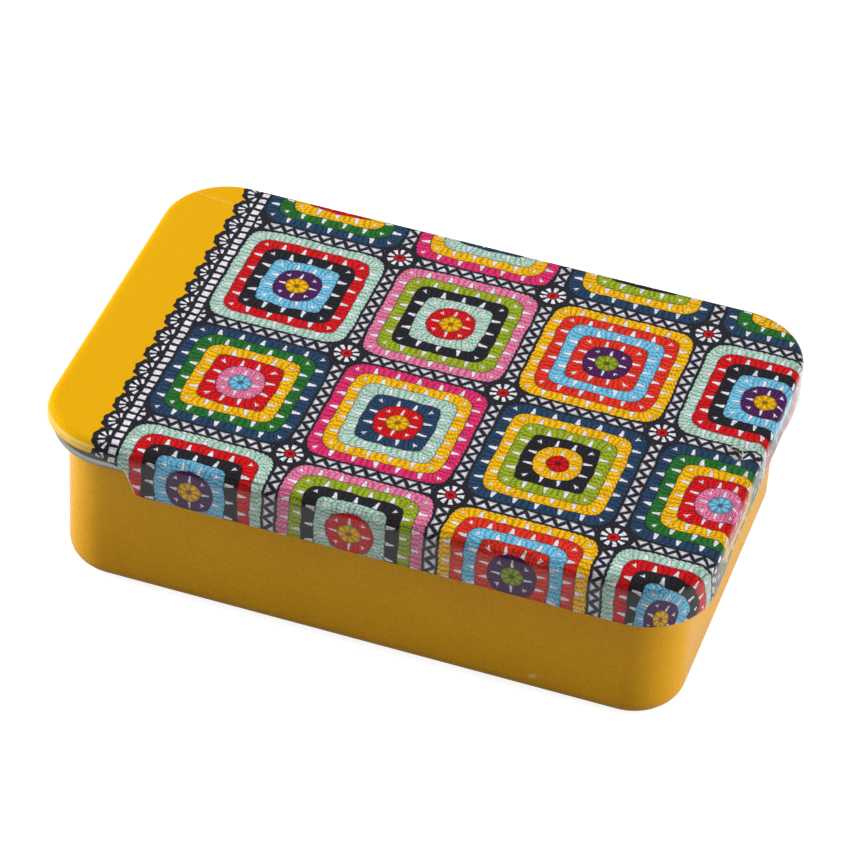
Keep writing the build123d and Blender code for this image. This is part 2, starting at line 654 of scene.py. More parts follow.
@dataclass(frozen=True)
class GrannySquares:
    """Squares worked in rounds, each of clusters of posts with a chain along their tops.

    Heights inside a round are shares of the round's height.
    """

    pitch: float = 24.0             # from one square to the next
    first_x: float = -36.9          # middle of the seam along the squares' side towards the band
    middle_radius: float = 1.7      # the ring that each square starts from
    round_height: float = 1.84
    rounds: int = 5
    squared_from: Pair = (1.5, 8.0)     # radii over which the rounds turn from circles to squares
    squareness: float = 8.0         # power of the outer rounds' curve
    ways: Pair = (2.0, 3.0)         # colourways to step on by, from column to column and row to row
    posts: float = 3.0              # to a cluster
    cluster: Pair = (0.38, 0.11)    # half its share of the round, and how that grows with height
    chain: Pair = (0.66, 0.72)      # where the chain takes over from the posts
    chain_middle: float = 0.84
    chain_lean: float = 3.4         # of its stitches to either side of its middle
    stitch: float = 0.95            # along the chain
    furrow: float = 0.5             # light between two strands
    ridge: float = 0.66             # what is added on top of one
    twist: Triple = (6.0, 19.0, 0.12)           # of the yarn: along, up, and how strong
    foot_shade: Step = (0.0, 0.12, 0.42, 1.0)
    top_shade: Step = (0.9, 1.0, 1.0, 0.55)
    gap_foot: Pair = (0.1, 0.02)    # where the lace below shows at the foot of a gap
    ring_strands: float = 8.0
    ring_light: Pair = (0.28, 0.86)             # how strong they are, and what they vary about
    ring_hole: Step = (0.3, 0.65, 0.3, 1.0)     # by radius
    ring_shade: Step = (1.25, 1.7, 1.0, 0.6)
    ring_edge: Pair = (0.03, -0.03)
    ripple: float = 0.14            # how far the last chain's stitches stand out
    outline: float = 0.08           # how wide the soft edge of a square is

    @property
    def side(self) -> float:
        """How far a square reaches from its middle."""
        return self.middle_radius + self.rounds * self.round_height

    @property
    def seam(self) -> float:
        """Half the width of the seam between two squares."""
        return self.pitch / 2 - self.side

    def draw(self, spot: Spot,
             lace: bpy.types.NodeSocket) -> tuple[Field, bpy.types.NodeSocket]:
        """Draw the squares.

        Args:
            spot: The place.
            lace: The lace that joins them.

        Returns:
            Where the squares are, and their colour.
        """
        shader = spot.shader
        column = (spot.u - self.first_x) / self.pitch
        row = spot.v / self.pitch
        x = (column.fract() - 0.5) * self.pitch
        y = (row.fract() - 0.5) * self.pitch
        circle = x.distance(y)
        out, run = self._bend(x, y, circle)
        level = (out - self.middle_radius) / self.round_height
        number = level.floor() + 1.0
        covered, light, link = self._stitches(number, level.fract(), run)

        way = (column.floor() * self.ways[0] + row.floor() * self.ways[1]).wrap(len(COLOURWAYS))
        tint = shader.choose(way * (self.rounds + 1) + number.least(self.rounds),
                             [yarn.value for colourway in COLOURWAYS for yarn in colourway])
        gap = shader.mix(Yarn.WHITE.value, lace, level.fract().rise(*self.gap_foot))
        rounds = shader.mix(gap, shader.shade(tint, light), covered)
        strands, plain = self.ring_light
        spoke = (y.angle_from(x) * self.ring_strands).sine() * strands + plain
        ring = circle.rise(*self.ring_hole) * circle.rise(*self.ring_shade)
        rounds = shader.mix(rounds, shader.shade(tint, spoke * ring), level.rise(*self.ring_edge))
        edge = self.side - self.ripple
        inside = (out - link * self.ripple).rise(edge, edge - self.outline)
        return inside * column.over(0.0), rounds

    def _bend(self, x: Field, y: Field, circle: Field) -> tuple[Field, Field]:
        """Measure a place along rounds that turn from circles to squares as they grow.

        Args:
            x: Its place along the tin, from the square's middle.
            y: The same across the tin.
            circle: Its distance from the middle.

        Returns:
            The size of the round through it, and its way along that round's side.
        """
        wide, tall = abs(x), abs(y)
        squared = circle.rise(*self.squared_from)
        power = self.squareness
        square = (wide ** power + tall ** power) ** (1 / power)
        out = circle + squared * (square - circle)
        sideways = wide.over(tall)
        ratio = (x + sideways * (y - x)) / (tall + sideways * (wide - tall)).most(NEVER_ZERO)
        bent = ratio.arc_tangent() * (4 / math.pi)
        return out, out * (bent + squared * (ratio - bent))

    def _stitches(self, number: Field, height: Field, run: Field) -> tuple[Field, Field, Field]:
        """Work one round.

        Args:
            number: Which round, from 1.
            height: The height in it.
            run: The way along its side, from the middle.

        Returns:
            Where there is yarn, its light and dark, and the height across the chain's stitches.
        """
        groups = number + 1.0
        width = ((number - 0.5) * self.round_height + self.middle_radius) * 2.0 / groups
        place = (run / width + groups / 2).fract() - 0.5
        narrow, growth = self.cluster
        half = height * growth + narrow
        cluster = (place * width).within(half * width, PRINT_EDGE)
        post = (place / half * (self.posts / 2) + 0.5).ridges()
        chain = height.rise(*self.chain)
        link = (run / self.stitch + abs(height - self.chain_middle) * self.chain_lean).ridges()
        relief = post + chain * (link - post)
        along, up, strength = self.twist
        twist = (run * along + height * up).sine() * strength
        shade = height.rise(*self.foot_shade) * height.rise(*self.top_shade)
        return cluster.most(chain), (relief * self.ridge + self.furrow + twist) * shade, link


@dataclass(frozen=True)
class JoiningLace:
    """Dark zigzag chains between the squares, over a white ground, and wheels where four meet."""

    squares: GrannySquares
    rail: float = 0.34              # width of the dark round that borders each square
    zigzag_pitch: float = 2.0
    zigzag_reach: float = 0.62      # to either side of the seam's middle
    chain_half: float = 0.46        # half its width, along the seam
    twist: Pair = (9.0, 7.0)        # of the yarn: along the seam, and across it
    shadow: float = 0.45
    chain_shadow: Pair = (0.16, 0.5)    # how far past the chain, and how soft
    rail_shadow: float = 0.4
    wheel_radius: float = 2.85
    wheel_edge: float = 0.1
    spokes: float = 9.0
    spoke_edge: Pair = (-0.25, 0.05)
    holes: Pair = (1.42, 0.5)       # between spokes: their middle's radius, and half their reach
    hub_edge: Pair = (0.78, 0.7)
    hub_hole: Step = (0.25, 0.5, 0.35, 1.0)     # by radius

    def draw(self, spot: Spot) -> bpy.types.NodeSocket:
        """Draw the chains and the wheels.

        Args:
            spot: The place.

        Returns:
            Their colour.
        """
        shader = spot.shader
        pitch = self.squares.pitch
        x = (spot.u - (self.squares.first_x - pitch / 2)).tiled(pitch)
        y = (spot.v + pitch / 2).tiled(pitch)
        crosswise = abs(y).over(abs(x))
        off = y + crosswise * (x - y)
        run = spot.u + crosswise * (spot.v - spot.u)
        along, across = self.twist
        yarn = spot.black(run * along + off * across)
        out = x.distance(y)
        return shader.mix(self._seam(shader, off, run, yarn),
                          self._wheel(shader, out, y.angle_from(x), yarn),
                          out.rise(self.wheel_radius, self.wheel_radius - self.wheel_edge))

    def _seam(self, shader: Shader, off: Field, run: Field,
              yarn: bpy.types.NodeSocket) -> bpy.types.NodeSocket:
        """Draw the zigzag chain between two rails, over the ground that they shade.

        Args:
            shader: The print's shader.
            off: The distance from the seam's middle.
            run: The way along the seam.
            yarn: The yarn's colour.

        Returns:
            The seam's colour.
        """
        wave = (abs((run / self.zigzag_pitch).fract() - 0.5) * 4.0 - 1.0) * self.zigzag_reach
        rail_at = self.squares.seam - self.rail
        chain = (off - wave).within(self.chain_half, PRINT_EDGE * 2)
        past, soft = self.chain_shadow
        shadow = (off - wave).within(self.chain_half + past, soft).most(
            abs(off).rise(rail_at - self.rail_shadow, rail_at))
        ground = shader.mix(Yarn.WHITE.value, Yarn.NAVY.value, shadow * self.shadow)
        return shader.mix(ground, yarn, chain.most(abs(off).past(rail_at, PRINT_EDGE)))

    def _wheel(self, shader: Shader, out: Field, angle: Field,
               yarn: bpy.types.NodeSocket) -> bpy.types.NodeSocket:
        """Draw a wheel with white holes between its spokes, round a red hub.

        Args:
            shader: The print's shader.
            out: The distance from its middle.
            angle: The angle round it.
            yarn: The yarn's colour.

        Returns:
            The wheel's colour.
        """
        radius, half = self.holes
        between = (angle * self.spokes).sine().rise(*self.spoke_edge)
        hole = (out - radius).within(half, PRINT_EDGE) * between
        wheel = shader.mix(yarn, Yarn.WHITE.value, hole)
        hub = shader.shade(Yarn.RED.value, out.rise(*self.hub_hole))
        return shader.mix(wheel, hub, out.rise(*self.hub_edge))


@dataclass(frozen=True)
class Edging:
    """The edging towards the plain band: a ladder of posts, then a row of open shells."""

    start_x: float                  # where it meets the squares
    ladder_pitch: float = 1.5
    ladder_height: float = 1.9
    post: float = 0.28              # half its width
    bar: float = 0.42               # the height of the ladder's sides
    shell_pitch: float = 65 / 16    # sixteen to the tin's width
    shell_radius: float = 2.6
    spokes: float = 10.0            # to a full turn
    picot: float = 0.12             # how far each stands out
    petals: Pair = (1.3, 0.48)      # the holes: their middle's radius, and half their reach
    petal_edge: Pair = (-0.1, 0.2)
    petal_foot: float = 0.15
    twist: Pair = (8.0, 3.0)        # of the yarn: out from a shell's foot, and across the tin

    def draw(self, spot: Spot) -> bpy.types.NodeSocket:
        """Draw the edging.

        Args:
            spot: The place.

        Returns:
            Its colour.
        """
        height = self.ladder_height
        rung = spot.v.tiled(self.ladder_pitch).within(self.ladder_pitch / 2 - self.post, PRINT_EDGE)
        level = (self.start_x - spot.u - height / 2).within(height / 2 - self.bar, PRINT_EDGE)
        beyond, beside, far = self._shell(spot)
        spokes = (beside.angle_from(beyond) * self.spokes + math.pi / 2).sine()
        radius, half = self.petals
        petal = (spokes.rise(*self.petal_edge) * (far - radius).within(half, PRINT_EDGE)
                 * beyond.over(self.petal_foot))
        outwards, across = self.twist
        yarn = spot.black(far * outwards + spot.v * across)
        return spot.shader.mix(yarn, Yarn.WHITE.value, (rung * level).most(petal))

    def worked(self, spot: Spot) -> Field:
        """Where the crochet is, up to its scalloped edge.

        Args:
            spot: The place.

        Returns:
            1 in the crochet, 0 on the plain band.
        """
        beyond, beside, far = self._shell(spot)
        picot = (beside.angle_from(beyond) * self.spokes).sine() * self.picot
        shell = (picot + self.shell_radius - far).past(0.0, PRINT_EDGE)
        return shell.most((-beyond).past(0.0, PRINT_EDGE))

    def _shell(self, spot: Spot) -> tuple[Field, Field, Field]:
        """Place a spot against the nearest shell.

        Args:
            spot: The place.

        Returns:
            How far it lies out from the shell's foot, how far beside it, and both together.
        """
        beyond = (self.start_x - self.ladder_height) - spot.u
        beside = spot.v.tiled(self.shell_pitch)
        return beyond, beside, beyond.distance(beside)


@dataclass(frozen=True)
class BendLines:
    """Fine lines along the lid's bend: dark ones, and pale ones that are a painted highlight.

    Attributes:
        noise: The noise that draws them.
        stretch: How its places grow, along the bend and down.
        shift: How far down it is shifted.
        edge: Where in it the lines start, and where they are whole.
        middle: The middle of the stretch that they fill, down from the flat top.
        half: Half of that stretch.
        soft: How wide its edges are.
    """

    noise: Noise
    stretch: Pair
    shift: float
    edge: Pair
    middle: float
    half: float
    soft: float

    def field(self, shader: Shader, along: Field, down: Field) -> Field:
        """Where the lines are.

        Args:
            shader: The print's shader.
            along: The way along the bend.
            down: The way down from the top.

        Returns:
            1 on a line, 0 between them.
        """
        wide, high = self.stretch
        lines = self.noise.at(shader, shader.point(along * wide, down * high + self.shift))
        return lines.rise(*self.edge) * (down - self.middle).within(self.half, self.soft)


@dataclass(frozen=True)
class CutEdgeHighlight:
    """A painted highlight along the skirt's slanting cut end: a pale band over the print, by places
    on the map "edge".
    """

    top: Pair = (43.1, 4.3)
    foot: Pair = (44.75, 8.6)
    half: float = 0.28              # half its width
    edge: Pair = (0.12, 0.3)        # how soft its side and its ends are
    share: float = 0.7

    def field(self, along: Field, down: Field) -> Field:
        """Where the painted highlight is.

        Args:
            along: The way along the lid's edge.
            down: The way down from the top.

        Returns:
            How strongly it shows.
        """
        run, fall = self.foot[0] - self.top[0], self.foot[1] - self.top[1]
        slant = math.hypot(run, fall)
        beside = (abs(along) - self.top[0]) * (fall / slant) - (down - self.top[1]) * (run / slant)
        side, end = self.edge
        below_middle = down - (self.top[1] + self.foot[1]) / 2
        return beside.within(self.half, side) * below_middle.within(fall / 2, end) * self.share


@dataclass(frozen=True)
class EdgeLinesAndHighlights:
    """Marks along the lid's edge: dark lines on the bend, and pale lines there and a pale band
    along the skirt's cut end that are painted highlights.
    """

    dark_lines: BendLines = BendLines(Noise(1.0, 3.0, 0.6), (0.25, 5.0), 0.0, (0.5, 0.58),
                                      1.6, 1.2, 1.4)
    # painted highlight: pale lines on the open end's bend
    bend_highlight_lines: BendLines = BendLines(Noise(1.0), (0.1, 5.0), 9.0, (0.44, 0.54), 2.0, 0.5, 0.5)
    dark: Colour = srgb(50, 34, 26)
    dark_share: Pair = (0.12, 0.55)     # on the band, and on the crochet
    bend_highlight_share: float = 0.7             # of the painted highlight lines, on the band
    # painted highlight along the skirt's cut end
    cut_edge_highlight: CutEdgeHighlight = CutEdgeHighlight()

    def over(self, shader: Shader, colour: bpy.types.NodeSocket,
             worked: Field) -> bpy.types.NodeSocket:
        """Add the dark lines and the painted highlights to the print.

        Args:
            shader: The print's shader.
            colour: The print.
            worked: Where the crochet is; beside it, on the band, the pale lines of painted
                highlight show.

        Returns:
            The print with its marks.
        """
        along, down = shader.map_fields("edge")
        on_band, on_crochet = self.dark_share
        dark = self.dark_lines.field(shader, along, down) * (
            worked * (on_crochet - on_band) + on_band)
        # painted highlight lines, beside the crochet
        pale = self.bend_highlight_lines.field(shader, along, down) * (1.0 - worked) * self.bend_highlight_share
        lined = shader.mix(colour, self.dark, dark)
        # pale lines and the cut end's band: painted highlights
        return shader.mix(lined, PALE_LACQUER, pale.most(self.cut_edge_highlight.field(along, down)))


@dataclass(frozen=True)
class PaleBandLine:
    """A thin pale line across the plain band."""

    middle: Pair = (-43.8, 27.2)
    half: Pair = (3.6, 0.12)        # half its length and half its width
    edge: Pair = (2.0, 0.1)         # how soft its ends and its sides are
    lean: float = 0.1
    stray: float = 0.75             # share of the crochet's own stray
    grain: Pair = (0.45, 0.6)       # fibre at which it starts to show, and at which it is whole
    share: float = 0.6

    def field(self, spot: Spot) -> Field:
        """Where the line is.

        Args:
            spot: The place.

        Returns:
            How strongly it shows.
        """
        x, y = spot.x - self.middle[0], spot.y - self.middle[1]
        length, width = self.half
        end, side = self.edge
        off = y + x * self.lean + (spot.u - spot.x) * self.stray
        line = off.within(width, side) * x.within(length, end)
        return line * spot.fibre.rise(*self.grain) * self.share


@dataclass(frozen=True)
class Ring:
    """A ring in the catch dimple, for painted shade and painted highlights, in shares of the outer
    ring's reach.

    Attributes:
        radius: Its radius.
        half: Half its width.
        soft: How wide its edges are.
        share: How strong it is.
    """

    radius: float
    half: float
    soft: float
    share: float

    def field(self, out: Field) -> Field:
        """How strongly it shows, by the distance from the dimple's middle."""
        return (out - self.radius).within(self.half, self.soft) * self.share


@dataclass(frozen=True)
class DimpleLightAndShade:
    """Painted light in the catch dimple: painted shade inside it, and two pale rings on one side
    and a pale spot in its bowl, which are painted highlights.

    Each grain is the fibre at which a mark starts to show, and at which it is whole.
    """

    middle: Pair = (45.95, -0.1)
    reach: Pair = (1.2, 1.5)            # of the outer ring, along and across the tin
    # painted shade: darker inside the dimple, with a darker ring
    dimple_shade: Colour = srgb(44, 36, 32)
    dimple_shade_fill: Step = (1.0, 0.7, 0.0, 0.3)
    dimple_shade_ring: Ring = Ring(0.8, 0.06, 0.1, 0.55)
    # painted highlight colour: pale rings on one side and a pale spot in the bowl
    dimple_highlight: Colour = srgb(236, 222, 214)
    dimple_highlight_side: Pair = (-0.85, 0.3)      # where the painted highlight starts and is whole, by the sum of both coordinates
    dimple_highlight_share: float = 0.8
    outer: Ring = Ring(1.0, 0.055, 0.08, 1.0)
    outer_grain: Pair = (0.35, 0.5)
    inner: Ring = Ring(0.62, 0.05, 0.1, 0.7)
    inner_grain: Pair = (0.4, 0.55)
    bowl: Pair = (0.23, -0.45)          # the middle of the painted highlight spot in the bowl
    bowl_edge: Pair = (0.2, 0.03)       # squares of its radii
    bowl_grain: Pair = (0.38, 0.56)
    bowl_share: float = 0.75

    def over(self, spot: Spot, colour: bpy.types.NodeSocket) -> bpy.types.NodeSocket:
        """Paint the dimple's shade and highlights over the print.

        Args:
            spot: The place.
            colour: The print.

        Returns:
            The print with its marks.
        """
        x = (spot.x - self.middle[0]) / self.reach[0]
        y = (spot.y - self.middle[1]) / self.reach[1]
        out = x.distance(y)
        # painted shade in the recess
        dimple_shade = out.rise(*self.dimple_shade_fill).most(self.dimple_shade_ring.field(out))
        outer = self.outer.field(out) * spot.fibre.rise(*self.outer_grain)
        inner = self.inner.field(out) * spot.fibre.rise(*self.inner_grain)
        # painted highlights: rings on one side, and a spot in the bowl
        rings = outer.most(inner) * (x + y).rise(*self.dimple_highlight_side) * self.dimple_highlight_share
        along, across = x - self.bowl[0], y - self.bowl[1]
        bowl = (along * along + across * across).rise(*self.bowl_edge)
        bowl_highlight = bowl * spot.fibre.rise(*self.bowl_grain) * self.bowl_share
        dimple_shaded = spot.shader.mix(colour, self.dimple_shade, dimple_shade)
        return spot.shader.mix(dimple_shaded, self.dimple_highlight, rings.most(bowl_highlight))


@dataclass(frozen=True)
class CrochetPrint:
    """The lid's print: joined granny squares, a scalloped edging and a plain yellow band.

    It is laid out on the flat sheet, by the map "flat".  The map "edge" runs along the lid's edge
    and down from its flat top.
    """

    squares: GrannySquares = GrannySquares()
    band_line: PaleBandLine = PaleBandLine()
    # painted shade and painted highlights in the catch dimple
    catch: DimpleLightAndShade = DimpleLightAndShade()
    # dark lines along the lid's edge, with painted highlights
    drawn: EdgeLinesAndHighlights = EdgeLinesAndHighlights()
    stray: Noise = Noise(3.0, 4.0, 0.6)
    wobble: float = 0.8             # how far the work strays from a drawn grid
    fibre: Noise = Noise(0.3, 3.0, 0.8)
    wool_tone: Step = (0.36, 0.64, 0.66, 1.2)
    band_tone: Pair = (0.9, 1.07)
    cloud: Noise = Noise(1.8, 3.0)
    cloud_tone: Pair = (0.88, 1.08)
    peel: Noise = Noise(1.3)
    peel_depth: float = 0.004
    roughness: float = 0.13
    specular: float = 0.11
    varnish: Step = (1.2, 3.0, 0.0, 0.52)   # a clear coat over the skirt's crochet

    def material(self) -> bpy.types.Material:
        """Make the material.

        Returns:
            The print on the lid's outside.
        """
        shader = Shader("crochet_print")
        x, y = shader.map_fields("flat")
        where = shader.point(x, y)
        stray_x = self.stray.at(shader, where) - 0.5
        stray_y = self.stray.at(shader, shader.point(y, x)) - 0.5
        spot = Spot(shader, x, y, x + stray_x * self.wobble, y + stray_y * self.wobble,
                    self.fibre.at(shader, where))
        edging = Edging(self.squares.first_x + self.squares.seam)
        worked = edging.worked(spot)
        cloud = self.cloud.at(shader, where).spread(*self.cloud_tone)
        colour = shader.mix(self._band(spot), self._crochet(spot, edging, cloud), worked)
        # paint the dimple's shade and highlights
        colour = self.catch.over(spot, colour)
        # dark lines and painted highlights along the edge
        colour = self.drawn.over(shader, colour, worked)
        down = shader.map_fields("edge")[1]
        surface = shader.node(
            "BsdfPrincipled", Base_Color=colour, Roughness=self.roughness,
            Specular_IOR_Level=self.specular, Coat_Weight=down.rise(*self.varnish) * worked,
            Coat_Roughness=self.roughness,
            Normal=shader.bump(self.peel.at(shader, where), self.peel_depth))
        return shader.finish(surface)

    def _crochet(self, spot: Spot, edging: Edging, cloud: Field) -> bpy.types.NodeSocket:
        """Draw the crochet, from the edging to the last square.

        Args:
            spot: The place.
            edging: The edging towards the band.
            cloud: Soft light and dark.

        Returns:
            Its colour.
        """
        shader = spot.shader
        lace = shader.mix(JoiningLace(self.squares).draw(spot), edging.draw(spot),
                          (edging.start_x - spot.u).over(0.0))
        in_squares, squares = self.squares.draw(spot, lace)
        return shader.shade(shader.mix(lace, squares, in_squares),
                            spot.fibre.rise(*self.wool_tone) * cloud)

    def _band(self, spot: Spot) -> bpy.types.NodeSocket:
        """Draw the plain band, with its thin pale line.

        Args:
            spot: The place.

        Returns:
            Its colour.
        """
        shader = spot.shader
        plain = shader.shade(YELLOW_LACQUER, spot.fibre.spread(*self.band_tone))
        return shader.mix(plain, PALE_LACQUER, self.band_line.field(spot))


# ---------------------------------------------------------------------------------------------
# Sheets
# ---------------------------------------------------------------------------------------------
BEND_STEPS = 8                      # that a bend or a rounding is divided into
SHARP_ANGLE = math.radians(40)      # least angle between faces that shows as an edge
WELD = 0.002 * MM                   # points of a sheet that are nearer than this are one
BAKE_MARGIN = 0.01                  # round the parts of a sheet's texture map


def places(start: float, *stretches: tuple[float, int]) -> np.ndarray:
    """Places along a line, evenly spaced over each of its stretches.

    Args:
        start: The first place.
        *stretches: Where each stretch ends, and how many steps it is divided into.

    Returns:
        All the places, both ends included.
    """
    found = [np.array([start])]
    for end, steps in stretches:
        found.append(np.linspace(found[-1][-1], end, steps + 1)[1:])
    return np.concatenate(found)


class End(Enum):
    """The tin's two ends, by the way that they face along it."""

    OPEN = -1
    CLOSED = 1


@dataclass(frozen=True)
class Stations:
    """Places round half of a shell's outline, front half, from the open end to the closed end.

    The point that lies `reach` out from a station is its anchor plus `reach` times its heading.
    """

    anchor: np.ndarray
    heading: np.ndarray
    along: np.ndarray

    def then(self, *others: "Stations") -> "Stations":
        """These stations with others after them."""
        parts = (self, *others)
        return Stations(*(np.concatenate([getattr(part, name) for part in parts])
                          for name in ("anchor", "heading", "along")))


@dataclass(frozen=True)
class Outline:
    """A rectangle with rounded corners, known by its corners' centres.

    Attributes:
        half_x: The corner centres' distance from the middle, along the tin.
        half_y: The same, across it.
        radius: The corner radius that lengths along the outline are measured at.
        corner_steps: How many steps each corner is divided into.
    """

    half_x: float
    half_y: float
    radius: float
    corner_steps: int

    @staticmethod
    def rounded(half_length: float, half_width: float, radius: float,
                corner_steps: int) -> "Outline":
        """The outline of a rounded rectangle, from half its length and half its width."""
        return Outline(half_length - radius, half_width - radius, radius, corner_steps)

    @property
    def _turn(self) -> float:
        """Length of one corner along the outline."""
        return self.radius * math.pi / 2

    @property
    def _middle(self) -> float:
        """Length along the outline from the open end's middle to the front's."""
        return self.half_y + self._turn + self.half_x

    def end(self, end: End, ys: np.ndarray) -> Stations:
        """Stations on the straight of an end.

        Args:
            end: Which end.
            ys: Their places across the tin.

        Returns:
            The stations.
        """
        return Stations(np.column_stack([np.full_like(ys, end.value * self.half_x), ys]),
                        np.tile((float(end.value), 0.0), (len(ys), 1)),
                        self._middle + end.value * (self._middle + ys))

    def front(self, xs: np.ndarray) -> Stations:
        """Stations on the straight of the front, by their places along the tin."""
        return Stations(np.column_stack([xs, np.full_like(xs, -self.half_y)]),
                        np.tile((0.0, -1.0), (len(xs), 1)), self._middle + xs)

    def corner(self, end: End) -> Stations:
        """Stations round a front corner, without its two ends.

        Args:
            end: The end that the corner is at.

        Returns:
            The stations.
        """
        share = np.linspace(0, 1, self.corner_steps + 1)[1:-1]
        quarters = share - 1 if end is End.OPEN else share      # round from facing the front
        angle = (quarters - 1) * math.pi / 2
        return Stations(np.tile((end.value * self.half_x, -self.half_y), (len(share), 1)),
                        np.column_stack([np.cos(angle), np.sin(angle)]),
                        self._middle + end.value * self.half_x + quarters * self._turn)

    def around(self, xs: np.ndarray, ys: np.ndarray) -> Stations:
        """Stations round the whole front half.

        Args:
            xs: Places along the tin, on the front.
            ys: Places across it, on both ends.

        Returns:
            The stations, from the open end's middle to the closed end's.
        """
        return self.end(End.OPEN, ys[::-1]).then(
            self.corner(End.OPEN), self.front(xs), self.corner(End.CLOSED),
            self.end(End.CLOSED, ys))


@dataclass(frozen=True)
class Section:
    """The line that a shell's surface follows from its middle outwards and round its edges.

    Attributes:
        reach: Distance out from the outline's corner centres, point by point.
        height: Height, point by point.
        run: Length along the line, 0 where the flat middle ends.
        flat_reach: Reach at which the flat middle ends.
    """

    reach: np.ndarray
    height: np.ndarray
    run: np.ndarray
    flat_reach: float

    @staticmethod
    def through(points: Sequence[Pair], flat_reach: float) -> "Section":
        """Measure a line given by its points.

        Args:
            points: Reach and height of each point, starting on the flat middle.
            flat_reach: Reach at which the flat middle ends.

        Returns:
            The section.
        """
        line = np.array(points)
        steps = np.hypot(*np.diff(line, axis=0).T)
        run = np.concatenate([[0.0], np.cumsum(steps)]) + line[0, 0] - flat_reach
        return Section(line[:, 0], line[:, 1], run, flat_reach)

    def part(self, first: int, last: int) -> "Section":
        """The stretch from one point to another, both included."""
        chosen = slice(first, last + 1)
        return Section(self.reach[chosen], self.height[chosen], self.run[chosen], self.flat_reach)


def arc(centre: Pair, radius: float, first: float, turn: float, steps: int) -> list[Pair]:
    """Points along a circular arc.

    Args:
        centre: The arc's centre.
        radius: Its radius.
        first: The angle that it starts at, in degrees.
        turn: How far it goes round, in degrees.
        steps: How many steps it is divided into.

    Returns:
        The points, both ends included.
    """
    angles = np.radians(first + turn * np.linspace(0, 1, steps + 1))
    return [(centre[0] + radius * math.cos(a), centre[1] + radius * math.sin(a)) for a in angles]


def rounded_line(corners: Sequence[Pair], radii: Sequence[float]) -> np.ndarray:
    """A run of straight lines with its inner corners rounded.

    Args:
        corners: The line's corners, ends included.
        radii: A radius for each inner corner.

    Returns:
        The line's points.
    """
    points = [np.array(corners[0])]
    for before, corner, after, radius in zip(corners[:-2], corners[1:-1], corners[2:], radii,
                                             strict=True):
        points += rounding(np.array(before), np.array(corner), np.array(after), radius)
    points.append(np.array(corners[-1]))
    return np.array(points)


def rounding(before: np.ndarray, corner: np.ndarray, after: np.ndarray,
             radius: float) -> list[np.ndarray]:
    """Points round one rounded corner of a line.

    Args:
        before: A point of the line before the corner.
        corner: The corner.
        after: A point of the line after it.
        radius: The rounding's radius.

    Returns:
        The points, both ends included.
    """
    back, ahead = before - corner, after - corner
    back, ahead = back / np.linalg.norm(back), ahead / np.linalg.norm(ahead)
    half_angle = math.acos(float(np.clip(back @ ahead, -1, 1))) / 2
    tangent = radius / math.tan(half_angle)
    middle = corner + (back + ahead) / np.linalg.norm(back + ahead) * radius / math.sin(half_angle)
    start, end = corner + back * tangent - middle, corner + ahead * tangent - middle
    turn = math.pi - 2 * half_angle
    return [middle + (math.sin((1 - share) * turn) * start + math.sin(share * turn) * end)
            / math.sin(turn) for share in np.linspace(0, 1, BEND_STEPS + 1)]


@dataclass(frozen=True)
class Patch:
    """A grid of points on a sheet's base side, in rows and columns.

    Attributes:
        place: Where each point is.
        flat: Where it lay on the flat sheet.
        edge: Its length along the outline, and its run down the section.
    """

    place: np.ndarray
    flat: np.ndarray
    edge: np.ndarray

    @staticmethod
    def swept(section: Section, rows: Iterable[Stations]) -> "Patch":
        """Make the patch whose rows follow stations, and whose columns follow a section.

        Args:
            section: The section.
            rows: The stations at each of its points.

        Returns:
            The patch.
        """
        place, flat, edge = [], [], []
        for stations, reach, height, run in zip(rows, section.reach, section.height, section.run,
                                                strict=False):
            ground = stations.anchor + stations.heading * reach
            place.append(np.column_stack([ground, np.full(len(ground), height)]))
            flat.append(stations.anchor + stations.heading * (section.flat_reach + run))
            edge.append(np.column_stack([stations.along, np.full(len(ground), run)]))
        return Patch(np.array(place), np.array(flat), np.array(edge))

    @staticmethod
    def level(xs: np.ndarray, ys: np.ndarray, height: float) -> "Patch":
        """Make the flat rectangle between an outline's corner centres, front half.

        Args:
            xs: Its columns' places along the tin.
            ys: Its rows' places across it, up to the middle line.
            height: Its height.

        Returns:
            The patch, facing up, with its place on the map "edge" far from any edge.
        """
        across, along = np.meshgrid(ys[::-1], xs, indexing="ij")
        ground = np.stack([along, across], axis=-1)
        place = np.concatenate([ground, np.full((*along.shape, 1), height)], axis=-1)
        return Patch(place, ground, np.stack([along, np.full_like(along, -1.0)], axis=-1))

    def mirrored(self) -> "Patch":
        """The same patch behind the tin's middle line, still facing the same way out."""
        return Patch(self.place[:, ::-1] * (1, -1, 1), self.flat[:, ::-1] * (1, -1),
                     self.edge[:, ::-1] * (-1, 1))


@dataclass(frozen=True)
class BakeLayout:
    """Where a sheet's two sides go in its texture map.

    Attributes:
        base_share: Side length of the base side's part of the map.
        other_share: The same for the other side.
    """

    base_share: float
    other_share: float


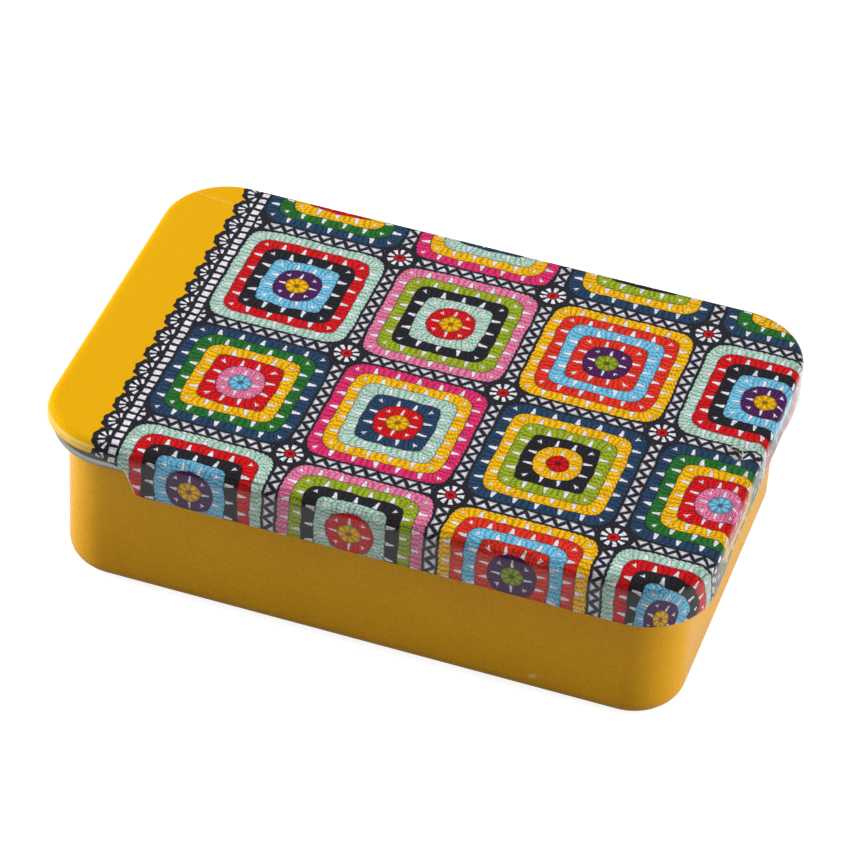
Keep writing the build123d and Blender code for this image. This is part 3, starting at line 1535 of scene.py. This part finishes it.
class Sheet:
    """A thin sheet: patches of its base side, joined and given their thickness."""

    def __init__(self, name: str, thickness: float, layout: BakeLayout) -> None:
        """Start an empty sheet.

        Args:
            name: The piece's name.
            thickness: The sheet's thickness.
            layout: Where its sides go in its texture map.
        """
        self.name = name
        self.thickness = thickness
        self.layout = layout
        self.patches: list[Patch] = []

    def add(self, patch: Patch) -> None:
        """Add a patch of the front half and its mirror image behind."""
        self.patches += [patch, patch.mirrored()]

    def build(self, base: bpy.types.Material, other: bpy.types.Material,
              rim_is_base: bool) -> bpy.types.Object:
        """Join the patches, thicken them and give both sides their materials.

        Args:
            base: The material of the side that the patches are.
            other: The material of the other side.
            rim_is_base: Whether the sheet's cut edge has the base side's material.

        Returns:
            The finished piece.
        """
        thin = self._joined()
        piece = bpy.data.objects.new(self.name, thin)
        bpy.context.scene.collection.objects.link(piece)
        for material in (base, other):
            thin.materials.append(material)
        solid = self._thickened(piece, rim_is_base)
        base_faces = len(thin.polygons)
        piece.data = solid
        bpy.data.meshes.remove(thin)
        solid.name = self.name
        solid.polygons.foreach_set("use_smooth", np.ones(len(solid.polygons), bool))
        solid.set_sharp_from_angle(angle=SHARP_ANGLE)
        self._lay_out(solid, base_faces)
        return piece

    def _joined(self) -> bpy.types.Mesh:
        """Join the patches.

        Returns:
            One mesh, with its maps "flat" and "edge".
        """
        points, faces, flats, edges = [], [], [], []
        start = 0
        for patch in self.patches:
            rows, columns = patch.place.shape[:2]
            index = np.arange(rows * columns).reshape(rows, columns)
            quads = np.stack([index[:-1, :-1], index[1:, :-1], index[1:, 1:], index[:-1, 1:]],
                             axis=-1).reshape(-1, 4)
            points.append(patch.place.reshape(-1, 3))
            flats.append(patch.flat.reshape(-1, 2)[quads.ravel()])
            edges.append(patch.edge.reshape(-1, 2)[quads.ravel()])
            faces.append(quads + start)
            start += rows * columns
        mesh = bpy.data.meshes.new(self.name)
        mesh.from_pydata(np.concatenate(points), [], np.concatenate(faces))
        for name, values in (("flat", flats), ("edge", edges)):
            layer = mesh.uv_layers.new(name=name)
            layer.data.foreach_set("uv", np.concatenate(values).ravel())
        work = bmesh.new()
        work.from_mesh(mesh)
        bmesh.ops.remove_doubles(work, verts=work.verts, dist=WELD)
        work.to_mesh(mesh)
        work.free()
        return mesh

    def _thickened(self, piece: bpy.types.Object, rim_is_base: bool) -> bpy.types.Mesh:
        """Give the sheet its thickness, away from the base side.

        Args:
            piece: The piece with the thin sheet.
            rim_is_base: Whether the sheet's cut edge has the base side's material.

        Returns:
            The thick sheet's mesh.
        """
        thicken = piece.modifiers.new("thickness", "SOLIDIFY")
        thicken.thickness = self.thickness
        thicken.offset = -1.0
        thicken.use_even_offset = True
        thicken.material_offset = 1
        thicken.material_offset_rim = 0 if rim_is_base else 1
        graph = bpy.context.evaluated_depsgraph_get()
        solid = bpy.data.meshes.new_from_object(piece.evaluated_get(graph))
        piece.modifiers.clear()
        return solid

    def _lay_out(self, mesh: bpy.types.Mesh, base_faces: int) -> None:
        """Add the map that textures are made through, from the flat map.

        Args:
            mesh: The thickened mesh.
            base_faces: How many faces the base side has; they come first.
        """
        flat = np.zeros(len(mesh.loops) * 2)
        mesh.uv_layers["flat"].data.foreach_get("uv", flat)
        flat = flat.reshape(-1, 2)
        unit = (flat - flat.min(axis=0)) / np.ptp(flat, axis=0).max()
        starts = np.zeros(len(mesh.polygons), int)
        mesh.polygons.foreach_get("loop_start", starts)
        other_side = slice(starts[base_faces], starts[min(2 * base_faces, len(starts) - 1)])
        place = BAKE_MARGIN + unit * self.layout.base_share
        above = self.layout.base_share * unit[:, 1].max() + 3 * BAKE_MARGIN
        place[other_side] = unit[other_side] * self.layout.other_share + (BAKE_MARGIN, above)
        layer = mesh.uv_layers.new(name="OFBake")
        layer.data.foreach_set("uv", place.ravel())


# ---------------------------------------------------------------------------------------------
# The tin
# ---------------------------------------------------------------------------------------------
QUARTER = 90                        # of a turn, in degrees


@dataclass(frozen=True)
class Tinplate:
    """What both of the tin's pieces share."""

    sheet: float = 0.3 * MM
    curl: float = 310               # degrees that a rolled edge goes round
    corner_steps: int = 18
    roll_steps: int = 26


@dataclass(frozen=True)
class Tray:
    """The tray: a drawn box whose top edge is rolled outwards into a rim.

    Its base side is the inside, which the roll turns out.
    """

    tin: Tinplate
    corner_radius: float = 8.0 * MM
    floor_radius: float = 3.0 * MM
    rim_radius: float = 1.35 * MM
    layout: BakeLayout = BakeLayout(0.6, 0.6)
    long_steps: int = 40            # along a side
    cross_steps: int = 11           # along half an end
    floor_steps: int = 3            # between the corners' centres and the floor's bend
    wall_steps: int = 8

    @property
    def rim_overhang(self) -> float:
        """How far the rim reaches past the walls."""
        return 2 * self.rim_radius - self.tin.sheet

    def walls(self) -> Walls:
        """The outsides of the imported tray's walls."""
        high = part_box("tray")[1]
        return Walls((high.x - self.rim_overhang) / MM, (high.y - self.rim_overhang) / MM,
                     self.corner_radius / MM)

    def build(self, inside: bpy.types.Material, outside: bpy.types.Material) -> bpy.types.Object:
        """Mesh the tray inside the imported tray's box.

        Args:
            inside: Material of the inside and the rolled rim.
            outside: Material of the outside.

        Returns:
            The piece.
        """
        low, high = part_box("tray")
        outline = Outline.rounded(high.x - self.rim_overhang, high.y - self.rim_overhang,
                                  self.corner_radius, self.tin.corner_steps)
        section = self._section(low.z, high.z)
        xs = places(-outline.half_x, (outline.half_x, self.long_steps))
        ys = places(-outline.half_y, (0.0, self.cross_steps))
        sheet = Sheet("drawn_tray", self.tin.sheet, self.layout)
        sheet.add(Patch.swept(section, repeat(outline.around(xs, ys))))
        sheet.add(Patch.level(xs, ys, section.height[0]))
        return sheet.build(inside, outside, rim_is_base=True)

    def _section(self, underside: float, top: float) -> Section:
        """The inside surface, from the floor's middle up the wall and round the rim.

        Args:
            underside: Height of the tray's underside.
            top: Height of the rim's top.

        Returns:
            The section.
        """
        floor = underside + self.tin.sheet
        wall = self.corner_radius - self.tin.sheet
        flat_reach = self.corner_radius - self.floor_radius
        wall_foot = underside + self.floor_radius
        rim_z = top - self.rim_radius
        points = [(reach, floor) for reach in places(0.0, (flat_reach, self.floor_steps))[:-1]]
        points += arc((flat_reach, wall_foot), self.floor_radius - self.tin.sheet, -QUARTER,
                      QUARTER, BEND_STEPS)
        points += [(wall, z) for z in places(wall_foot, (rim_z, self.wall_steps))[1:-1]]
        points += arc((wall + self.rim_radius, rim_z), self.rim_radius, 2 * QUARTER,
                      -self.tin.curl, self.tin.roll_steps)
        return Section.through(points, flat_reach)


@dataclass(frozen=True)
class Dimple:
    """The catch dimple, pressed down into the lid's top."""

    inset: float = 3.5 * MM         # its middle from the lid's closed end
    radius: float = 1.7 * MM
    depth: float = 0.7 * MM
    shoulder: float = 0.25 * MM     # how soft its edge is
    reach: float = 1.8              # radii from its middle, past which the top stays flat

    def press(self, patch: Patch, closed_end: float) -> Patch:
        """Press the dimple into a patch of the top.

        Args:
            patch: The patch, whose points are moved.
            closed_end: Place of the lid's closed end along the tin.

        Returns:
            The same patch.
        """
        middle = closed_end - self.inset
        out = np.hypot(patch.place[:, :, 0] - middle, patch.place[:, :, 1])
        sphere = (self.radius**2 + self.depth**2) / (2 * self.depth)
        rise = sphere - self.depth
        bowl = np.sqrt(np.maximum(sphere**2 - out**2, 0)) - rise
        depth = self.shoulder * np.logaddexp(0, bowl / self.shoulder)
        depth = np.where(out < self.reach * self.radius, depth, 0)
        patch.place[:, :, 2] -= np.minimum(depth, self.depth)
        return patch


@dataclass(frozen=True)
class LidGrid:
    """How finely the lid's surface is divided: columns along its edge, and rows down it."""

    lip_steps: int = 7              # along the front, up to where the skirt starts
    fan: float = 3.0 * MM           # past the cut's foot, where the columns stand upright again
    fan_steps: int = 7              # up to there
    run_steps: int = 37             # and on along the front
    relief_steps: int = 8           # along the closed end, from the corner to the end skirt
    end_steps: int = 6              # on, up to beside the dimple
    dimple_steps: int = 16          # and past it to the tin's middle line
    flat_steps: int = 4             # rows from the corners' centres out towards the dimple
    dimple_margin: float = 0.6 * MM     # of fine rows before it
    across_steps: int = 22          # fine rows across it, up to the bend
    above_steps: int = 2            # from the bend down to where the skirt starts
    skirt_steps: int = 3            # down to the end skirt's edge
    lower_shares: tuple[float, ...] = (0.04, 0.16, 0.4, 0.7)    # of the way on to the roll


@dataclass(frozen=True)
class Lid:
    """The lid: a drawn cover with a skirt on three sides, whose edge is rolled inwards.

    Its base side is the printed outside.
    """

    tin: Tinplate
    dimple: Dimple = Dimple()
    grid: LidGrid = LidGrid()
    corner_radius: float = 10.5 * MM
    edge_radius: float = 1.7 * MM           # between top and skirt
    roll_radius: float = 1.1 * MM
    lip_depth: float = 1.8 * MM             # skirt at the open end, below the top
    fall: Pair = (4.6 * MM, 1.5 * MM)       # run and drop of the edge before the skirt's end
    cut_run: float = 2.0 * MM               # along the tin, over the skirt's cut end
    trim: float = 0.1 * MM                  # lowest reach of the cuts below the rolled edge
    cut_rounds: Triple = (6.0 * MM, 0.8 * MM, 1.8 * MM)
    turned: float = 0.3 * MM                # how far in from the cut its edge is turned under
    relief_start: float = 1.0 * MM          # from the corner to where the end's edge rises
    relief_run: float = 8.0 * MM
    relief_round: float = 5.0 * MM
    end_clearance: float = 0.1 * MM         # end skirt's edge above the rolled edge beside it
    layout: BakeLayout = BakeLayout(0.98, 0.17)

    def build(self, printed: bpy.types.Material, bare: bpy.types.Material) -> bpy.types.Object:
        """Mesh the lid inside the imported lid's box.

        Args:
            printed: Material of the outside.
            bare: Material of the underside and the cut edge.

        Returns:
            The piece.
        """
        low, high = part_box("sliding_lid")
        sheet = Sheet("printed_lid", self.tin.sheet, self.layout)
        for patch in LidShape(self, low, high).patches():
            sheet.add(patch)
        return sheet.build(printed, bare, rim_is_base=False)


class LidShape:
    """The lid's outside surface, worked out from its sizes and its box."""

    def __init__(self, lid: Lid, low: Vector, high: Vector) -> None:
        """Work out the lid's outline, its edges and its section.

        Args:
            lid: The lid's sizes.
            low: The lid's lowest corner.
            high: The lid's highest corner.
        """
        self.lid = lid
        self.grid = lid.grid
        self.low = low
        self.high = high
        self.outline = Outline.rounded(high.x, high.y, lid.corner_radius, lid.tin.corner_steps)
        self.split_x = lid.fall[0] - self.outline.half_x
        self.cut = self._open_end_cut()
        self.split_z = float(np.interp(self.split_x, self.cut[:, 0], self.cut[:, 1]))
        self.relief = self._relief()
        self.bend_row, self.split_row, self.relief_row, self.section = self._section()

    def patches(self) -> list[Patch]:
        """Make the patches of the lid's front half.

        Returns:
            The top with its bend, its flat middle, the lip, the skirt and the end skirt.
        """
        closed_end = self.high.x
        xs = places(-self.outline.half_x, (self.split_x, self.grid.lip_steps),
                    *self._front_stretches(self.split_x))
        relief_y = self.relief[-1, 0]
        across = self._end_stretches()
        ys = places(-self.outline.half_y, (relief_y, self.grid.relief_steps), *across)
        top = Patch.swept(self.section.part(0, self.bend_row), repeat(self.outline.around(xs, ys)))
        middle = Patch.level(xs, ys, self.high.z)
        end_skirt = Patch.swept(self.section.part(self.bend_row, self.relief_row),
                                repeat(self.outline.end(End.CLOSED, places(relief_y, *across))))
        return [self.lid.dimple.press(top, closed_end), self.lid.dimple.press(middle, closed_end),
                self._lip(xs[:self.grid.lip_steps + 1], ys), self._skirt(), end_skirt]

    def _front_stretches(self, start: float) -> tuple[tuple[float, int], ...]:
        """Divide the front, from a point of the skirt's cut to the closed end.

        Args:
            start: Place of that point along the tin.

        Returns:
            Where each stretch ends, and its steps.
        """
        fan_end = self.split_x + self.lid.cut_run + self.grid.fan
        return ((start + self.lid.turned, 1), (fan_end, self.grid.fan_steps),
                (self.outline.half_x, self.grid.run_steps))

    def _end_stretches(self) -> tuple[tuple[float, int], ...]:
        """Stretches across the closed end, from the relief to the tin's middle line."""
        return ((-2 * self.lid.dimple.radius, self.grid.end_steps), (0.0, self.grid.dimple_steps))

    def _open_end_cut(self) -> np.ndarray:
        """Draw the open end's lower edge from the side.

        Returns:
            Its points, as places along the tin and heights.
        """
        lid = self.lid
        lip = self.high.z - lid.lip_depth
        trim = self.low.z - lid.trim
        corners = [(-self.outline.half_x - lid.corner_radius, lip), (-self.outline.half_x, lip),
                   (self.split_x, lip - lid.fall[1]), (self.split_x + lid.cut_run, trim),
                   (0.0, trim)]
        return rounded_line(corners, lid.cut_rounds)

    def _relief(self) -> np.ndarray:
        """Draw the closed end's lower edge from the end, from the corner to the end skirt's edge.

        Returns:
            Its points, as places across the tin and heights.
        """
        lid = self.lid
        foot = lid.relief_start - self.outline.half_y
        top = self.low.z + 2 * lid.roll_radius + lid.end_clearance
        trim = self.low.z - lid.trim
        corners = [(-self.outline.half_y, trim), (foot, trim), (foot + lid.relief_run, top),
                   (0.0, top)]
        return rounded_line(corners, (lid.relief_round, lid.relief_round))[:-1]

    def _section(self) -> tuple[int, int, int, Section]:
        """The outside surface, from the top's middle over the bend, down and round the roll.

        Returns:
            The rows at the bend's foot, where the skirt starts and at the end skirt's edge, and
            the section.
        """
        lid, grid, top = self.lid, self.grid, self.high.z
        reach = lid.corner_radius
        flat_reach = reach - lid.edge_radius
        bend = top - lid.edge_radius
        roll = self.low.z + lid.roll_radius
        relief = self.relief[-1, 1]
        dimple = flat_reach - 2 * lid.dimple.radius - grid.dimple_margin
        flat = places(0.0, (dimple, grid.flat_steps), (flat_reach, grid.across_steps))
        points = [(out, top) for out in flat[:-1]]
        points += arc((flat_reach, bend), lid.edge_radius, QUARTER, -QUARTER, BEND_STEPS)
        bend_row = len(points) - 1
        upper = places(bend, (self.split_z, grid.above_steps), (relief, grid.skirt_steps))
        points += [(reach, z) for z in upper[1:]]
        relief_row = len(points) - 1
        points += [(reach, relief + (roll - relief) * share) for share in grid.lower_shares]
        points += arc((reach - lid.roll_radius, roll), lid.roll_radius, 0, -lid.tin.curl,
                      lid.tin.roll_steps)
        return (bend_row, bend_row + grid.above_steps, relief_row,
                Section.through(points, flat_reach))

    def _lip(self, xs: np.ndarray, ys: np.ndarray) -> Patch:
        """The short skirt round the open end, down to its falling edge.

        Args:
            xs: Its places along the front.
            ys: Places across the end.

        Returns:
            The patch.
        """
        around = self.outline.end(End.OPEN, ys[::-1]).then(
            self.outline.corner(End.OPEN), self.outline.front(xs))
        lowest = np.interp(around.anchor[:, 0] + around.heading[:, 0] * self.lid.corner_radius,
                           self.cut[:, 0], self.cut[:, 1])
        part = self.section.part(self.bend_row, self.split_row)
        top, bottom = part.height[0], part.height[-1]
        patch = Patch.swept(part, repeat(around))
        drop = ((top - part.height) / (top - bottom))[:, None] * (top - lowest)[None, :]
        run = part.run[0] + drop
        patch.place[:, :, 2] = top - drop
        patch.edge[:, :, 1] = run
        patch.flat[:] = around.anchor + around.heading * (part.flat_reach + run[:, :, None])
        return patch

    def _skirt(self) -> Patch:
        """The front skirt with its rolled edge, from its cut end to the relief.

        Returns:
            The patch, with the roll's cut end drawn in a little.
        """
        part = self.section.part(self.bend_row, len(self.section.reach) - 1)
        patch = Patch.swept(part, [self._skirt_row(height) for height in part.height])
        patch.place[self.split_row - self.bend_row + 1:, 0, 1] += self.lid.turned / 2
        return patch

    def _skirt_row(self, height: float) -> Stations:
        """Place the front skirt's columns at one height.

        Args:
            height: The height.

        Returns:
            Their stations.
        """
        start = self.split_x
        if height < self.split_z:
            start = np.interp(-height, -self.cut[:, 1], self.cut[:, 0])
        end = np.interp(height, self.relief[:, 1], self.relief[:, 0])
        xs = places(start, *self._front_stretches(start))
        ys = places(-self.outline.half_y, (end, self.grid.relief_steps))
        return self.outline.front(xs).then(self.outline.corner(End.CLOSED),
                                           self.outline.end(End.CLOSED, ys))


# ---------------------------------------------------------------------------------------------
# The studio
# ---------------------------------------------------------------------------------------------
@dataclass(frozen=True)
class Viewpoint:
    """The camera: where it stands round the tin, and how it is aimed."""

    azimuth: float = 16.42          # degrees round from the front
    elevation: float = 40.49
    roll: float = 3.51
    distance: float = 656.09 * MM
    aside: float = -0.03 * MM
    above: float = 5.19 * MM
    target: float = 12.0 * MM       # height that it circles
    lens: float = 188.66            # millimetres, as the sensor
    sensor: float = 36.0
    nearest: float = 10.0 * MM      # what it can see

    def build(self) -> bpy.types.Object:
        """Make the camera and make it the scene's own.

        Returns:
            The camera.
        """
        azimuth, elevation, roll = (math.radians(angle) for angle in
                                    (self.azimuth, self.elevation, self.roll))
        back = Vector((math.sin(azimuth) * math.cos(elevation),
                       -math.cos(azimuth) * math.cos(elevation), math.sin(elevation)))
        level = Vector((math.cos(azimuth), math.sin(azimuth), 0.0))
        upright = back.cross(level)
        right = level * math.cos(roll) + upright * math.sin(roll)
        up = upright * math.cos(roll) - level * math.sin(roll)
        data = bpy.data.cameras.new("camera")
        data.sensor_fit = "HORIZONTAL"
        data.sensor_width = self.sensor
        data.lens = self.lens
        data.clip_start = self.nearest
        camera = bpy.data.objects.new("camera", data)
        bpy.context.scene.collection.objects.link(camera)
        place = (Vector((0, 0, self.target)) + back * self.distance + right * self.aside
                 + up * self.above)
        axes = Matrix((right, up, back)).transposed().to_4x4()
        camera.matrix_world = Matrix.Translation(place) @ axes
        bpy.context.scene.camera = camera
        return camera


@dataclass(frozen=True)
class SoftBox:
    """A square lamp that points at the tin.

    Attributes:
        name: Its name.
        place: Where it stands, in metres.
        size: Its side.
        share: How much of a plain exposure it gives a surface that faces it.
    """

    name: str
    place: Triple
    size: float
    share: float

    def build(self) -> bpy.types.Object:
        """Make the lamp.

        Returns:
            The lamp.
        """
        data = bpy.data.lights.new(self.name, "AREA")
        data.size = self.size
        place = Vector(self.place)
        data.energy = self.share * math.pi**2 * place.length_squared
        lamp = bpy.data.objects.new(self.name, data)
        bpy.context.scene.collection.objects.link(lamp)
        turned = place.to_track_quat("Z", "Y").to_matrix().to_4x4()
        lamp.matrix_world = Matrix.Translation(place) @ turned
        lamp.visible_glossy = False     # gloss shows the surround alone
        return lamp


@dataclass(frozen=True)
class Studio:
    """A pale table in a white surround, lit by soft boxes."""

    walls: Walls                    # the tray's, round which the table's tones are laid
    boxes: tuple[SoftBox, ...] = (
        SoftBox("overhead_box", (-0.05, 0.02, 0.95), 1.1, 0.445),
        SoftBox("left_box", (-0.8, 0.02, 0.22), 0.44, 1.1),
        SoftBox("right_box", (0.8, 0.2, 0.22), 0.44, 0.71),
    )
    ambient: float = 0.236
    sky: Pair = (0.12, 0.45)        # how bright gloss shows the surround, low down and high up
    sky_rise: Pair = (0.3, 0.6)     # between these heights, as sines
    near: Colour = (0.64, 0.64, 0.64, 1.0)      # the table round the tin
    far: Colour = (0.24, 0.24, 0.24, 1.0)       # the table further out, and right beside it
    # painted shade: the table is darker right beside the tin, most of all in front, so the tray's
    # foot gets less bounced light
    beside: Pair = (0.6, 0.16)      # how near the table's colour is right beside the tin's ends
    front: Pair = (20.0, 34.0)      # and its front, which these widths part
    grow: Pair = (2.0, 30.0)        # millimetres from the tray's walls, up to the nearer colour
    fade: Pair = (90.0, 190.0)      # and on to the further one
    lift: Pair = (0.75, 0.95)       # what is added, near and far, to make it white
    gloss_lift: float = 0.42        # the same near the tin, as gloss shows it
    floor_half: float = 4.0

    def build(self) -> None:
        """Make the surround, the lamps and the table."""
        for box in self.boxes:
            box.build()
        self._surround()
        self._table()

    def _surround(self) -> None:
        """White where it is seen, dim where it lights."""
        world = bpy.data.worlds.new("surround")
        world.use_nodes = True
        bpy.context.scene.world = world
        nodes = Nodes(world.node_tree)
        background = nodes.tree.nodes["Background"]
        camera, gloss = nodes.seen()
        way = nodes.node("TexCoord").outputs["Generated"]
        ceiling = nodes.axis(way, "Z").rise(*self.sky_rise, *self.sky)
        put(nodes.tree, background.inputs["Color"], WHITE)
        put(nodes.tree, background.inputs["Strength"],
            camera * (1.0 - self.ambient) + gloss * (ceiling - self.ambient) + self.ambient)

    def _table(self) -> None:
        """A wide pale table that keeps the tin's shadow."""
        half = self.floor_half
        mesh = bpy.data.meshes.new("table")
        mesh.from_pydata([(-half, -half, 0), (half, -half, 0), (half, half, 0), (-half, half, 0)],
                         [], [(0, 1, 2, 3)])
        table = bpy.data.objects.new("table", mesh)
        bpy.context.scene.collection.objects.link(table)
        mesh.materials.append(self._cloth())

    def _cloth(self) -> bpy.types.Material:
        """Make the table's material: a pale cloth with a glow that makes it white where seen, and
        with painted shade right beside the tin.

        Returns:
            The material.
        """
        shader = Shader("pale_table")
        where = shader.object_point()
        away = shader.beyond(where, self.walls)
        # painted shade on the table right beside the tin, darkest in front
        beside = (-shader.axis(where, "Y")).rise(*self.front, *self.beside)
        near = (beside + away.rise(*self.grow) * (1.0 - beside)) * away.rise(*self.fade, 1.0, 0.0)
        cloth = shader.node("BsdfDiffuse", Color=shader.mix(self.far, self.near, near))
        camera, gloss = shader.seen()
        near_lift, far_lift = self.lift
        glow = shader.node("Emission", Color=WHITE, Strength=(
            camera * (near * (near_lift - far_lift) + far_lift) + gloss * near * self.gloss_lift))
        both = shader.node("AddShader")
        for slot, layer in enumerate((cloth, glow)):
            shader.tree.links.new(layer.outputs[0], both.inputs[slot])
        return shader.finish(both)


def main() -> None:
    """Load the frame, build the studio and the tin's two pieces, and log their face counts."""
    logging.basicConfig(level=logging.INFO, format="%(name)s: %(message)s")
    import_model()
    tin = Tinplate()
    tray = Tray(tin)
    Viewpoint().build()
    Studio(tray.walls()).build()
    bpy.context.scene.view_settings.view_transform = "Standard"

    bare = BareTinplate(tray.walls()).material()
    lacquer = LacqueredTin().material()
    printed = CrochetPrint().material()
    pieces = (
        (tray.build(bare, lacquer), "tray", "tray", "tray_lacquer"),
        (Lid(tin).build(printed, bare), "lid", "sliding_lid", "lid_print"),
    )
    for piece, body, node, slot in pieces:
        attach(piece, body)
        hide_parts(node)
        LOG.info("%s: %d faces, rides on %s", piece.name, len(piece.data.polygons), body)


if __name__ == "__main__":
    main()
